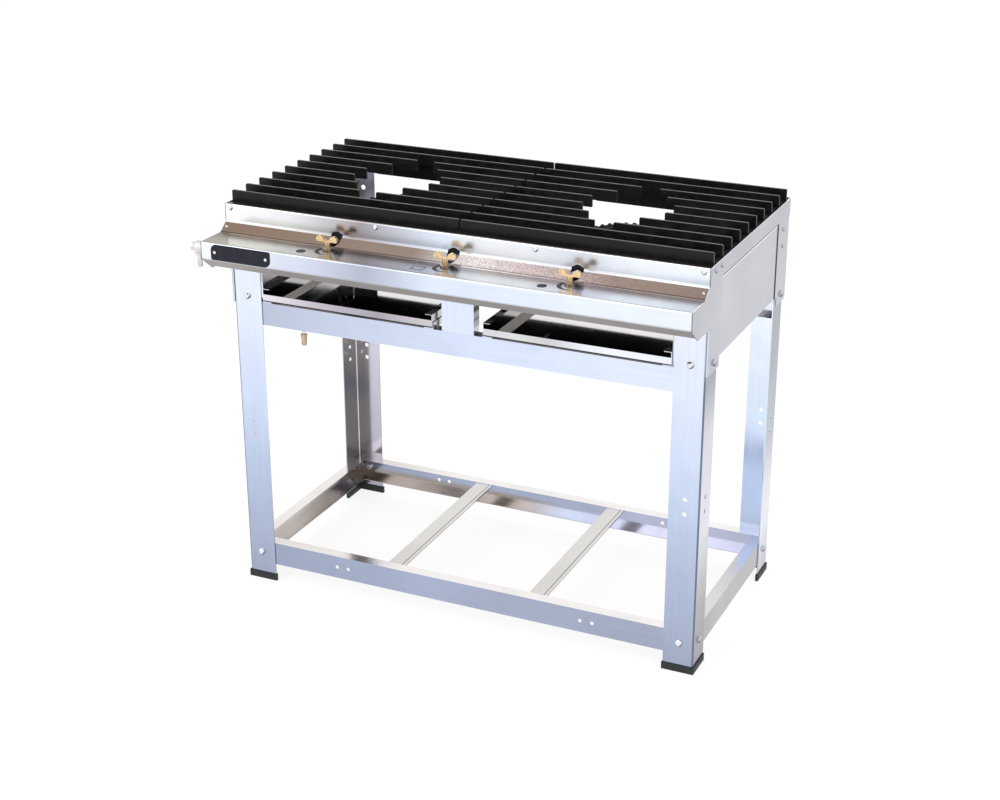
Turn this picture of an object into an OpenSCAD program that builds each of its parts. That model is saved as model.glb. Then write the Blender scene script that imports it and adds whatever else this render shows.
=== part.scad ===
// Two burner range on four angle legs, with drip trays, a folded control shelf and lift-off grates.
// X runs along the front, Y runs to the back, Z is up; the origin is on the floor under the middle.

/* [Overall] */
// Outer width over the legs
frame_w = 1000; // [960:10:1100]
// Outer depth over the legs
frame_d = 486; // [476:2:520]
// Floor to the top of the grates
cook_h = 853; // [810:1:900]

/* [Legs and feet] */
// Width of each leg flange
leg_flange = 62; // [56:1:66]
// Thickness of the leg sheet
leg_t = 2; // [1.5:0.1:2.5]
// Distance of the leg holes from the leg corner
leg_hole_in = 30; // [27:1:34]
// Height of the lower hole of each spare pair
leg_hole_z = 339; // [250:1:420]
// Spacing of each spare pair
leg_hole_pitch = 30; // [24:1:40]
// Diameter of the spare leg holes
leg_hole_d = 9; // [7:0.5:11]
// Distance from the grate ledge down to the leg tops
leg_drop = 46; // [42:1:50]
// Diameter of the open hole near the top of each back leg
rear_hole_d = 11; // [8:0.5:12]
// Height of the foot cap
foot_h = 15; // [12:1:22]
// Wall of the foot cap
foot_t = 2; // [1.5:0.25:3]
// Floor of the foot cap under the leg
foot_base = 3; // [2:0.5:5]

/* [Shelf frame and tray channels] */
// Height of the underside of the shelf channels
shelf_z = 38; // [24:1:80]
// Height of the shelf channels
shelf_h = 50; // [42:1:60]
// Width of the channel flanges
rail_flange = 25; // [20:1:30]
// Sheet thickness of the channels
rail_t = 1.5; // [1.2:0.1:2]
// Height of the upper channels
upper_h = 48; // [40:1:56]
// Drop from the grate ledge to the top of the upper channels
tray_drop = 200.5; // [198:0.5:206]
// Distance of each shelf bar from the middle
shelf_bar_x = 160; // [100:5:220]
// Width of each shelf bar
shelf_bar_w = 38; // [30:1:50]
// Thickness of each shelf bar
shelf_bar_t = 4; // [3:0.5:6]
// Distance of each channel hole pair from the middle
pair_x = 275; // [240:5:330]
// Spacing of each channel hole pair
pair_pitch = 26; // [20:1:34]
// Diameter of the channel holes
pair_d = 8; // [6:0.5:10]
// Width of the centre post
post_w = 68; // [56:2:76]
// Reach of the side rails above the lower edge of the side panels
side_rail_up = 29; // [20:1:40]
// Reach of the side rails below that edge
side_rail_down = 6; // [4:1:12]

/* [Control shelf] */
// Sheet thickness of the body panels
sheet_t = 1.5; // [1.2:0.1:1.8]
// Distance of the upright band in front of the legs
band_out = 10; // [9:0.5:14]
// Height of the upright band
band_h = 35.5; // [32:0.5:40]
// Forward reach of the slope
slope_d = 23; // [18:0.5:25]
// Fall of the slope
slope_h = 17.5; // [16:0.5:20]
// Depth of the flat shelf
shelf_d = 70; // [68:1:80]
// Height of the apron
apron_h = 36; // [34:1:44]
// Depth of the return lip under the apron
lip_d = 25; // [15:1:28]
// Fall of the return lip
lip_h = 20; // [12:1:26]
// Depth of the hem on top of the band
hem_d = 8; // [4:0.5:9]
// Width of the cut-outs in the slope
notch_w = 24.5; // [20:0.5:28]
// Rise of the cut-outs above the foot of the band
notch_up = 4.5; // [4:0.5:8]
// Bottom edge of the side panels below the grate ledge
cheek_drop = 189; // [180:1:192]
// Reach of the cheek tabs below that edge
tab_h = 19; // [12:1:24]
// Gap between each leg and the side panel beside it
side_gap = 1.5; // [0.5:0.5:3]
// Width of the outer strip over the back legs
rim_leg_w = 71; // [66:1:76]

/* [Grates] */
// Height of each grate bar
bar_h = 23; // [18:1:30]
// Thickness of each grate bar
bar_t = 5; // [4:0.25:6]
// Distance from the outermost bars to the leg faces
bar_in = 15.75; // [12:0.25:20]
// Radius on the bar ends
bar_round = 2.5; // [1.5:0.5:6]
// Gap between the two grates
grate_gap = 3; // [2:1:14]
// Side gap between a grate and the body
grate_side = 2; // [1:0.5:4]
// Half width of the diamond opening
diamond_x = 101; // [90:1:115]
// Half depth of the diamond opening
diamond_y = 156; // [150:1:165]
// Height of the cross flats
cross_h = 6; // [5:0.5:9]
// Thickness of the cross flats
cross_t = 5; // [4:0.25:6]
// Distance of the inner cross flats from the burner centre
cross_in = 124; // [120:1:140]
// Width of the inner frame ledges
ledge_w = 40; // [30:1:44]
// Thickness of the inner frame angles
ledge_t = 3; // [2.5:0.25:4]
// Height of the upright flange of the front and back angles
ledge_h = 53; // [46:1:56]
// Height of the upright flange of the side angles
ledge_side_h = 40; // [30:1:41]
// Depth of the notches in the lower edge of the back angle
ledge_notch = 5; // [3:0.5:8]
// Half width of the middle notch
ledge_notch_x = 91; // [70:1:110]

/* [Burners] */
// Outer radius of the burner ring
ring_r = 90; // [80:1:96]
// Inner radius of the burner ring
ring_in = 66; // [58:1:68]
// Height of the cast ring under its crown
ring_h = 24; // [22:1:27]
// Height of the crown plate
crown_h = 5; // [4:0.5:7]
// Number of ports on the crown
port_n = 32; // [24:1:36]
// Diameter of each port boss
port_d = 9.5; // [8:0.5:10]
// Height of each port boss
port_h = 4; // [3:0.5:6]
// Outer diameter of the mixing tube
mix_d = 28; // [26:1:30]
// Wall of the mixing tube
mix_wall = 4; // [3:0.5:5]
// Outer diameter of the mixing tube mouth
mouth_d = 40; // [38:1:42]
// Length of the mixing tube mouth
mouth_l = 18; // [16:1:24]
// Radial gap between mouth and air shutter
shutter_gap = 0.3; // [0.3:0.05:0.6]
// Wall of the air shutter
shutter_t = 1.5; // [1:0.1:1.8]
// Width of the burner straps
strap_w = 25; // [18:1:30]
// Thickness of the burner straps
strap_t = 4; // [3:0.5:5]
// Distance of each strap from its burner centre
strap_y = 58; // [50:1:58]
// Overlap of the strap ends on the frame angles
strap_end = 25; // [15:1:26]

/* [Gas parts] */
// Outer diameter of the gas pipe
pipe_d = 20; // [18:0.5:22]
// Distance of the gas pipe in front of the leg faces
pipe_out = 49; // [47:1:53]
// Diameter of the valve bodies
valve_d = 19; // [17:0.5:20]
// Diameter of the key shank
shank_d = 7; // [6:0.5:8]
// Radial running clearance of the key shank
shank_clear = 0.05; // [0.02:0.01:0.1]
// Gap between key and valve body
key_gap = 0.3; // [0.3:0.1:0.8]
// Span of the key wings
key_w = 45; // [38:1:52]
// Height of the key over the valve body
key_h = 24; // [22:0.5:30]
// Thickness of the key wings
key_t = 6; // [4:0.5:8]
// Radius of the inlet elbow
inlet_r = 13.5; // [12:0.5:15]
// Distance from the pipe end to the inlet tail
inlet_reach = 34.5; // [28:0.5:40]
// Diameter of the inlet tail
tail_d = 10.6; // [9:0.1:12]
// Length of the inlet tail
tail_l = 25; // [20:1:44]
// Diameter of the side feed tube
feed_d = 6.4; // [5:0.1:8]
// Distance of the side feed outlet left of the middle
feed_x = 365; // [300:5:380]

/* [Drip trays] */
// Gap between each tray and the front leg beside it
tray_leg_gap = 4; // [3:0.5:8]
// Gap between each tray and the centre post
tray_post_gap = 20; // [19:0.5:30]
// Gap between the back of each tray and the back of the legs
tray_back_gap = 10; // [8:1:40]
// Height of the front and back tray walls
tray_h = 15; // [10:1:20]
// Height of the tray side walls
tray_side_h = 26.5; // [22:0.5:32]
// Width of the inward side lips
tray_lip = 15; // [10:1:20]
// Sheet thickness of the trays
tray_t = 1.2; // [1:0.1:1.5]
// Gap between a tray and its runners
tray_gap = 0.4; // [0.3:0.1:0.8]
// Thickness of the runner strips
runner_t = 3; // [2:0.5:4]
// Width of the runner strips
runner_w = 20; // [15:1:24]
// Wall thickness of the runners
runner_wall = 1.5; // [1:0.25:2]
// Height of the runner walls beside the centre post
runner_side = 14; // [10:1:20]
// Height of the runner walls beside the legs
guard_h = 68; // [40:1:80]

/* [Trim] */
// Width of the bare plate on the apron
plate_w = 133; // [110:1:150]
// Height of the bare plate
plate_h = 32; // [24:0.5:33]
// Head diameter of the leg bolts
bolt_head = 14; // [12:0.5:15]
// Shank diameter of the leg bolts
bolt_d = 8; // [6:0.5:9]
// Head diameter of the panel bolts
screw_head = 10; // [8:0.5:11]
// Head diameter of the side bolts
side_head = 8; // [6:0.5:9]
// Distance from the grate ledge down to the front side bolts
front_screw_drop = 12; // [10:1:20]
// Distance of the first front side bolt from the front of the legs
front_screw_in = 20; // [12:1:24]
// Spacing of the front side bolts
front_screw_pitch = 35; // [24:1:38]
// Distance from the grate ledge down to the first rear side bolt
rear_screw_drop = 53; // [50:1:60]
// Spacing of the rear side bolts
rear_screw_pitch = 34; // [24:1:40]

/* [Hidden] */
$fn = 48;
eps = 0.01;
slot_over = 1;
half_w = frame_w / 2;
front_y = -frame_d / 2;
back_y = frame_d / 2;
deck_z = cook_h - bar_h;
rim_z = deck_z + sheet_t;
cheek_in = half_w + side_gap;
cheek_out = cheek_in + sheet_t;
rim_out = cheek_out + sheet_t;
ledge_in = cheek_in - ledge_t;
band_y = front_y - band_out;
band_in_y = band_y + sheet_t;
rim_back_y = back_y + ledge_t;
slope_z = rim_z - band_h;
slope_y = band_y - slope_d;
ctrl_z = slope_z - slope_h;
apron_y = slope_y - shelf_d;
apron_z = ctrl_z - apron_h;
lip_y = apron_y + lip_d;
lip_z = apron_z - lip_h;
cheek_z = deck_z - cheek_drop;
tab_z = cheek_z - tab_h;
cheek_edge = leg_flange - 1;
cheek_front_z = lip_z - 8;
rail_in = half_w - leg_t;
rail_front = front_y + leg_t;
rail_back = back_y - leg_t;
upper_top = deck_z - tray_drop;
upper_z = upper_top - upper_h;
leg_top = deck_z - leg_drop;
post_top = deck_z - ledge_t;
bolt_in = leg_hole_in;
shelf_bolt_z = shelf_z + shelf_h / 2;
upper_bolt_z = cheek_z - 1;
nut_ratio = 0.85;
screw_d = 5;
screw_z = deck_z - ledge_t - nut_ratio * screw_d * cos(30) - 0.3;
rear_screw_zs = [deck_z - rear_screw_drop, deck_z - rear_screw_drop - rear_screw_pitch];
rear_screw_in = 38;
rear_hole_in = 34;
burner_x = (cheek_out - grate_side + grate_gap / 2) / 2;
key_xs = [-burner_x, 0, burner_x];
key_y = front_y - pipe_out;
key_top_z = ctrl_z + 4;
mix_z = ctrl_z - 10.5;
pipe_z = mix_z - 21.5;
strap_top = mix_z - 11;
ring_top = strap_top + ring_h;
crown_top = ring_top + crown_h;
mouth_y = band_in_y;
shutter_y = mouth_y - 5;
shutter_l = 15;
shutter_r = mouth_d / 2 + shutter_gap;
tray_x = post_w / 2 + tray_post_gap;
tray_w = half_w - leg_flange - tray_leg_gap - tray_x;
tray_l = frame_d - tray_back_gap;
tray_z = upper_top + runner_t + tray_gap;
tray_y = front_y;
bar_half = (cheek_out - grate_side - grate_gap / 2) / 2;
bar_pitch = (frame_d - 2 * bar_in) / 9;
bar_ys = [for (i = [0 : 9]) (i - 4.5) * bar_pitch];
bend = 3;
leg_relief = bend - 0.8 * leg_t + 0.3;
sheet_relief = bend - 0.8 * sheet_t + 0.3;
notch_mid_z = ctrl_z + 1.5 + notch_w / 2;
// The levels where the folded sheet is parted, from the top down
fold_zs = [rim_z + 1, slope_z + bend, notch_mid_z, ctrl_z - bend, apron_z + bend, lip_z - sheet_t - 1];
mark_t = 0.3;

leg_front_left();
leg_front_right();
leg_back_left();
leg_back_right();
foot_front_left();
foot_front_right();
foot_back_left();
foot_back_right();
shelf_rail_front();
shelf_rail_back();
shelf_rail_left();
shelf_rail_right();
shelf_bar_left();
shelf_bar_right();
upper_rail_front();
upper_rail_back();
centre_post();
side_rail_left();
side_rail_right();
runners_left();
runners_right();
front_panel();
panel_folds();
cheek_left();
cheek_right();
side_panel_left();
side_panel_right();
rim_back();
ledge_front();
ledge_back();
ledge_left();
ledge_right();
ledge_centre();
burner_straps();
burner_left();
burner_right();
crown_left();
crown_right();
shutter_left();
shutter_right();
gas_pipe();
gas_inlet();
valve_left();
valve_middle();
valve_right();
key_left();
key_middle();
key_right();
feed_tube();
feed_tail();
tray_left();
tray_right();
grate_left();
grate_right();
grate_flats_left();
grate_flats_right();
bare_plate();
shelf_marks();
leg_bolts();
panel_bolts();

// Shared shapes

// A box given by its low and high corners
module span(low, high) {
  translate(low)
    cube(high - low);
}

// A round bar along Y
module rod_y(x, y0, y1, z, r) {
  translate([x, y1, z])
    rotate([90, 0, 0])
      cylinder(h = y1 - y0, r = r);
}

// A round bar along X
module rod_x(x0, x1, y, z, r) {
  translate([x0, y, z])
    rotate([0, 90, 0])
      cylinder(h = x1 - x0, r = r);
}

// A round bar along Z
module rod_z(x, y, z0, z1, r) {
  translate([x, y, z0])
    cylinder(h = z1 - z0, r = r);
}

// The unit vector from one point to the next
function dir(a, b) = (b - a) / norm(b - a);

// The vector turned to its right
function right(v) = [v[1], -v[0]];

// The point where the sheet's other face turns, for a sheet of thickness t to the right of the line
function turned(a, b, c, t) =
  let (n1 = right(dir(a, b)), n2 = right(dir(b, c)))
  b + (n1 + n2) * t / (1 + n1 * n2);

// A folded sheet section along a line of points, filled to the right of the line
module folded(line, t) {
  n = len(line);
  first = [line[0] + right(dir(line[0], line[1])) * t];
  last = [line[n - 1] + right(dir(line[n - 2], line[n - 1])) * t];
  inner = [for (i = [1 : n - 2]) turned(line[i - 1], line[i], line[i + 1], t)];
  back = concat(first, inner, last);
  polygon(concat(line, [for (i = [n - 1 : -1 : 0]) back[i]]));
}

// A corner of a line cut into a short bend
function bent(a, b, c, r) =
  let (u = dir(b, a), v = dir(b, c))
  [b + u * r, b + (u + v) * r * 0.29, b + v * r];

// A corner prism along X that makes room for a bend, with its right angle at [y, z]
module relief_x(x0, x1, y, z, r) {
  translate([x0, y, z])
    rotate([90, 0, 90])
      linear_extrude(height = x1 - x0)
        polygon([[-slot_over, slot_over], [r + slot_over, slot_over], [-slot_over, -r - slot_over]]);
}

// The same along Z, inside the corner of the left front leg
module relief_z(z0, z1) {
  translate([-rail_in, rail_front, z0])
    linear_extrude(height = z1 - z0)
      polygon([
        [-slot_over, -slot_over], [leg_relief + slot_over, -slot_over], [-slot_over, leg_relief + slot_over]
      ]);
}

// Legs, drawn for the left front corner and turned to the others

module leg_blank() {
  outer = [[0, leg_flange], [0, 0], [leg_flange, 0]];
  line = concat([outer[0]], bent(outer[0], outer[1], outer[2], bend), [outer[2]]);
  translate([0, 0, foot_base])
    linear_extrude(height = leg_top - foot_base)
      mirror([1, 1])
        folded([for (p = line) [-p[1], -p[0]]], leg_t);
}

module leg_cuts(front_zs) {
  for (z = [leg_hole_z, leg_hole_z + leg_hole_pitch]) {
    rod_y(leg_hole_in, -slot_over, leg_t + slot_over, z, leg_hole_d / 2);
    rod_x(-slot_over, leg_t + slot_over, leg_hole_in, z, leg_hole_d / 2);
  }
  for (z = front_zs)
    rod_y(bolt_in, -slot_over, leg_t + slot_over, z, bolt_d / 2);
  for (z = [shelf_bolt_z, upper_bolt_z])
    rod_x(-slot_over, leg_t + slot_over, bolt_in, z, bolt_d / 2);
}

module front_leg() {
  translate([-half_w, front_y, 0])
    difference() {
      leg_blank();
      leg_cuts([shelf_bolt_z, upper_bolt_z]);
    }
}

module back_leg() {
  translate([-half_w, front_y, 0])
    difference() {
      leg_blank();
      leg_cuts([shelf_bolt_z]);
      rod_y(rear_hole_in, -slot_over, leg_t + slot_over, rear_screw_zs[1], rear_hole_d / 2);
      for (z = rear_screw_zs)
        rod_x(-slot_over, leg_t + slot_over, rear_screw_in, z, screw_d / 2);
    }
}

module leg_front_left() {
  color("silver")
    front_leg();
}

module leg_front_right() {
  color("silver")
    mirror([1, 0, 0])
      front_leg();
}

module leg_back_left() {
  color("silver")
    mirror([0, 1, 0])
      back_leg();
}

module leg_back_right() {
  color("silver")
    mirror([1, 0, 0])
      mirror([0, 1, 0])
        back_leg();
}

// Foot caps

module foot() {
  low = [-half_w - foot_t, front_y - foot_t, 0];
  arm = leg_flange + 2 * foot_t;
  deep = leg_t + 2 * foot_t;
  difference() {
    union() {
      span(low, low + [arm, deep, foot_h]);
      span(low, low + [deep, arm, foot_h]);
    }
    span([-half_w, front_y, foot_base], [-half_w + leg_flange, front_y + leg_t, foot_h + slot_over]);
    span([-half_w, front_y, foot_base], [-half_w + leg_t, front_y + leg_flange, foot_h + slot_over]);
    relief_z(foot_base, foot_h + slot_over);
  }
}

module foot_front_left() {
  color("dimgray")
    foot();
}

module foot_front_right() {
  color("dimgray")
    mirror([1, 0, 0])
      foot();
}

module foot_back_left() {
  color("dimgray")
    mirror([0, 1, 0])
      foot();
}

module foot_back_right() {
  color("dimgray")
    mirror([1, 0, 0])
      mirror([0, 1, 0])
        foot();
}

// Channels of the frame, drawn for the front and turned to the back

module channel_front(z, h) {
  end = rail_in - leg_relief;
  difference() {
    span([-end, rail_front, z], [end, rail_front + rail_flange, z + h]);
    span([-rail_in - slot_over, rail_front + rail_t, z + rail_t],
      [rail_in + slot_over, rail_front + rail_flange + slot_over, z + h - rail_t]);
  }
}

module shelf_channel() {
  difference() {
    channel_front(shelf_z, shelf_h);
    for (x = [-1, 1]) {
      rod_y(x * (half_w - bolt_in), rail_front - slot_over, rail_front + rail_t + slot_over,
        shelf_bolt_z, bolt_d / 2);
      for (k = [-0.5, 0.5])
        rod_y(x * pair_x + k * pair_pitch, rail_front - slot_over, rail_front + rail_t + slot_over,
          shelf_bolt_z, pair_d / 2);
    }
  }
}

module shelf_rail_front() {
  color("silver")
    shelf_channel();
}

module shelf_rail_back() {
  color("silver")
    mirror([0, 1, 0])
      shelf_channel();
}

module shelf_side() {
  web_y = rail_back - rail_t;
  flange_y = rail_back - rail_flange;
  top = shelf_z + shelf_h;
  difference() {
    union() {
      span([-rail_in, -web_y, shelf_z + rail_t], [-rail_in + rail_t, web_y, top - rail_t]);
      for (z = [shelf_z, top - rail_t])
        span([-rail_in, -flange_y, z], [-rail_in + rail_flange, flange_y, z + rail_t]);
    }
    for (y = [front_y + bolt_in, back_y - bolt_in])
      rod_x(-rail_in - slot_over, -rail_in + rail_t + slot_over, y, shelf_bolt_z, bolt_d / 2);
  }
}

module shelf_rail_left() {
  color("silver")
    shelf_side();
}

module shelf_rail_right() {
  color("silver")
    mirror([1, 0, 0])
      shelf_side();
}

module shelf_bar() {
  top = shelf_z + shelf_h - rail_t;
  span([shelf_bar_x - shelf_bar_w / 2, rail_front + rail_t, top - shelf_bar_t],
    [shelf_bar_x + shelf_bar_w / 2, rail_back - rail_t, top]);
}

module shelf_bar_left() {
  color("silver")
    mirror([1, 0, 0])
      shelf_bar();
}

module shelf_bar_right() {
  color("silver")
    shelf_bar();
}

module upper_rail_front() {
  color("silver")
    channel_front(upper_z, upper_h);
}

module upper_rail_back() {
  color("silver")
    mirror([0, 1, 0])
      channel_front(upper_z, upper_h);
}

module centre_post() {
  color("silver")
    difference() {
      span([-post_w / 2, rail_front, upper_top], [post_w / 2, rail_front + rail_flange, post_top]);
      span([-post_w / 2 + rail_t, rail_front + rail_t, upper_top - slot_over],
        [post_w / 2 - rail_t, rail_front + rail_flange + slot_over, post_top + slot_over]);
    }
}

// Side rails behind the side panels, with ends that reach down behind the legs

module side_rail() {
  low = cheek_z - side_rail_down;
  high = cheek_z + side_rail_up;
  end = leg_flange - leg_t;
  difference() {
    union() {
      span([-rail_in, rail_front, low], [-rail_in + rail_t, rail_back, high]);
      for (y = [rail_front, rail_back - end])
        span([-rail_in, y, upper_top], [-rail_in + rail_t, y + end, high]);
      span([-rail_in, rail_front, upper_top], [-rail_in + end, rail_front + rail_t, high]);
    }
    for (y = [front_y + bolt_in, back_y - bolt_in])
      rod_x(-rail_in - slot_over, -rail_in + rail_t + slot_over, y, upper_bolt_z, bolt_d / 2);
    rod_y(-half_w + bolt_in, rail_front - slot_over, rail_front + rail_t + slot_over,
      upper_bolt_z, bolt_d / 2);
    relief_z(upper_top - slot_over, high + slot_over);
    mirror([0, 1, 0])
      relief_z(upper_top - slot_over, high + slot_over);
  }
}

module side_rail_left() {
  color("silver")
    side_rail();
}

module side_rail_right() {
  color("silver")
    mirror([1, 0, 0])
      side_rail();
}

// Tray runners, one angle under each side of a tray, with the taller wall beside the legs

module runner_wall_at(x, h) {
  span([x, rail_front + rail_t, upper_top], [x + runner_wall, rail_back - rail_t, upper_top + h]);
}

module runner_pair() {
  x0 = tray_x - tray_gap - runner_wall;
  x1 = tray_x + tray_w + tray_gap + runner_wall;
  for (x = [x0, x1 - runner_w])
    span([x, rail_front, upper_top], [x + runner_w, rail_back, upper_top + runner_t]);
  runner_wall_at(x0, runner_side);
  runner_wall_at(x1 - runner_wall, guard_h);
}

module runners_left() {
  color("gray")
    mirror([1, 0, 0])
      runner_pair();
}

module runners_right() {
  color("gray")
    runner_pair();
}

// Body panels

// A round-bottomed cut-out through the slope and the foot of the band
module slope_notch(x) {
  r = notch_w / 2;
  rod_y(x, slope_y - slot_over, band_in_y + slot_over, notch_mid_z, r);
  span([x - r, slope_y - slot_over, notch_mid_z], [x + r, band_in_y + slot_over, slope_z + notch_up]);
}

// The whole folded sheet with its holes
module panel_sheet() {
  pts = [
    [band_y + hem_d, rim_z], [band_y, rim_z], [band_y, slope_z], [slope_y, ctrl_z],
    [apron_y, ctrl_z], [apron_y, apron_z], [lip_y, lip_z]
  ];
  line = concat(
    [pts[0]],
    [for (i = [1 : 5]) each bent(pts[i - 1], pts[i], pts[i + 1], bend)],
    [pts[6]]
  );
  difference() {
    translate([-cheek_out, 0, 0])
      rotate([90, 0, 90])
        linear_extrude(height = 2 * cheek_out)
          mirror([1, 0])
            folded([for (p = line) [-p[0], p[1]]], sheet_t);
    for (x = key_xs) {
      slope_notch(x);
      rod_z(x, key_y, ctrl_z - sheet_t - slot_over, ctrl_z + slot_over, valve_d / 2 + 0.5);
    }
    for (x = panel_bolt_xs())
      rod_y(x, band_y - slot_over, band_in_y + slot_over, screw_z, screw_d / 2);
  }
}

// The nearly flat stretches of the sheet that start at the given levels of fold_zs
module panel_stretches(starts) {
  intersection() {
    panel_sheet();
    union()
      for (i = starts)
        span([-cheek_out - 1, apron_y - 1, fold_zs[i + 1]], [cheek_out + 1, band_y + hem_d + 1, fold_zs[i]]);
  }
}

// The band, the flat shelf and the return lip
module front_panel() {
  color("silver")
    panel_stretches([0, 2, 4]);
}

// The slope between the cut-outs and the apron
module panel_folds() {
  color("silver")
    panel_stretches([1, 3]);
}

function panel_bolt_xs() = [-cheek_out + 11, -half_w / 3, half_w / 3, cheek_out - 11];

function front_screws() =
  [for (k = [0, 1]) [front_y + front_screw_in + k * front_screw_pitch, deck_z - front_screw_drop]];

function rear_screws() = [for (z = rear_screw_zs) [back_y - rear_screw_in, z]];

// One sheet of the left side from its outline, with the holes of the side bolts
module side_sheet(x0, outline) {
  difference() {
    translate([x0, 0, 0])
      rotate([90, 0, 90])
        linear_extrude(height = sheet_t)
          polygon(outline);
    for (y = [front_y + bolt_in, back_y - bolt_in])
      rod_x(x0 - slot_over, x0 + sheet_t + slot_over, y, upper_bolt_z, bolt_d / 2);
    for (p = concat(front_screws(), rear_screws()))
      rod_x(x0 - slot_over, x0 + sheet_t + slot_over, p[0], p[1], screw_d / 2);
  }
}

// The outer sheet closes the control shelf and runs back along the rim and down the back leg
module cheek() {
  strip_y = back_y - rim_leg_w;
  side_sheet(-rim_out, [
    [band_y, rim_z], [band_y, slope_z], [slope_y, ctrl_z], [apron_y, ctrl_z],
    [apron_y, apron_z], [lip_y, lip_z], [lip_y + 10, cheek_front_z],
    [front_y, cheek_front_z], [front_y, tab_z], [front_y + cheek_edge, tab_z],
    [front_y + cheek_edge, slope_z], [strip_y, slope_z], [strip_y, cheek_z],
    [back_y - cheek_edge, cheek_z], [back_y - cheek_edge, tab_z], [back_y, tab_z], [back_y, slope_z],
    [rim_back_y + sheet_t, slope_z], [rim_back_y + sheet_t, rim_z]
  ]);
}

module cheek_left() {
  color("silver")
    difference() {
      cheek();
      rod_x(-rim_out - slot_over, -cheek_out + slot_over, key_y, pipe_z, pipe_d / 2);
    }
}

module cheek_right() {
  color("silver")
    mirror([1, 0, 0])
      cheek();
}

// The flat panel behind it, with a return that closes the gap at the front leg
module side_panel() {
  union() {
    side_sheet(-cheek_out, [
      [front_y, tab_z], [front_y + cheek_edge, tab_z], [front_y + cheek_edge, cheek_z],
      [back_y - cheek_edge, cheek_z], [back_y - cheek_edge, tab_z], [back_y, tab_z],
      [back_y, deck_z], [front_y, deck_z]
    ]);
    span([-cheek_in, front_y, tab_z], [-half_w, front_y + sheet_t, cheek_front_z]);
  }
}

module side_panel_left() {
  color("silver")
    side_panel();
}

module side_panel_right() {
  color("silver")
    mirror([1, 0, 0])
      side_panel();
}

module rim_back() {
  color("silver")
    span([-cheek_out, rim_back_y, deck_z - ledge_h], [cheek_out, rim_back_y + sheet_t, rim_z]);
}

// Inner frame of dark angles that carries the grates

module ledge_front() {
  back = band_in_y + ledge_w;
  color("black")
    difference() {
      union() {
        span([-ledge_in, band_in_y, deck_z - ledge_h], [ledge_in, band_in_y + ledge_t, deck_z]);
        span([-ledge_in, band_in_y, deck_z - ledge_t], [ledge_in, back, deck_z]);
      }
      relief_x(-half_w, half_w, band_in_y, deck_z, sheet_relief);
      for (x = key_xs)
        rod_y(x, band_in_y - slot_over, band_in_y + ledge_t + slot_over, mix_z, mouth_d / 2 + 4);
      for (x = panel_bolt_xs())
        rod_y(x, band_in_y - slot_over, band_in_y + ledge_t + slot_over, screw_z, screw_d / 2);
    }
}

// The upright flange is notched over the legs and in the middle
module ledge_back() {
  low = deck_z - ledge_h;
  up = low + ledge_notch;
  slant = 8;
  mid = ledge_notch_x;
  end = half_w - leg_flange;
  color("black")
    union() {
      translate([0, rim_back_y, 0])
        rotate([90, 0, 0])
          linear_extrude(height = ledge_t)
            polygon([
              [-ledge_in, deck_z], [-ledge_in, up], [-end, up], [slant - end, low], [-mid, low],
              [slant - mid, up], [mid - slant, up], [mid, low], [end - slant, low], [end, up],
              [ledge_in, up], [ledge_in, deck_z]
            ]);
      span([-ledge_in, rim_back_y - ledge_w, deck_z - ledge_t], [ledge_in, rim_back_y, deck_z]);
    }
}

module ledge_side() {
  color("black")
    difference() {
      union() {
        span([-cheek_in, band_in_y, deck_z - ledge_side_h], [-ledge_in, rim_back_y, deck_z]);
        span([-cheek_in, band_in_y + ledge_w, deck_z - ledge_t],
          [-cheek_in + ledge_w, rim_back_y - ledge_w, deck_z]);
      }
      relief_x(-cheek_out, -ledge_in + slot_over, band_in_y, deck_z, sheet_relief);
      for (p = front_screws())
        rod_x(-cheek_in - slot_over, -ledge_in + slot_over, p[0], p[1], screw_d / 2);
    }
}

module ledge_left() {
  ledge_side();
}

module ledge_right() {
  mirror([1, 0, 0])
    ledge_side();
}

module ledge_centre() {
  low_y = band_in_y + ledge_w;
  high_y = rim_back_y - ledge_w;
  color("black")
    union() {
      span([-ledge_w / 2, low_y, deck_z - ledge_t], [ledge_w / 2, high_y, deck_z]);
      span([-ledge_t / 2, low_y, deck_z - ledge_w], [ledge_t / 2, high_y, deck_z]);
    }
}

// Burners

// A strap across the left half, turned up at both ends against the frame angles
module strap(y) {
  low = strap_top - strap_t;
  x0 = -ledge_in;
  x1 = -ledge_t / 2;
  y0 = y - strap_w / 2;
  y1 = y + strap_w / 2;
  span([x0, y0, low], [x1, y1, strap_top]);
  span([x0, y0, low], [x0 + strap_t, y1, deck_z - ledge_side_h + strap_end]);
  span([x1 - strap_t, y0, low], [x1, y1, deck_z - ledge_w + strap_end]);
}

module burner_straps() {
  color("black")
    for (side = [0, 1], y = [-strap_y, strap_y])
      mirror([side, 0, 0])
        strap(y);
}

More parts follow.
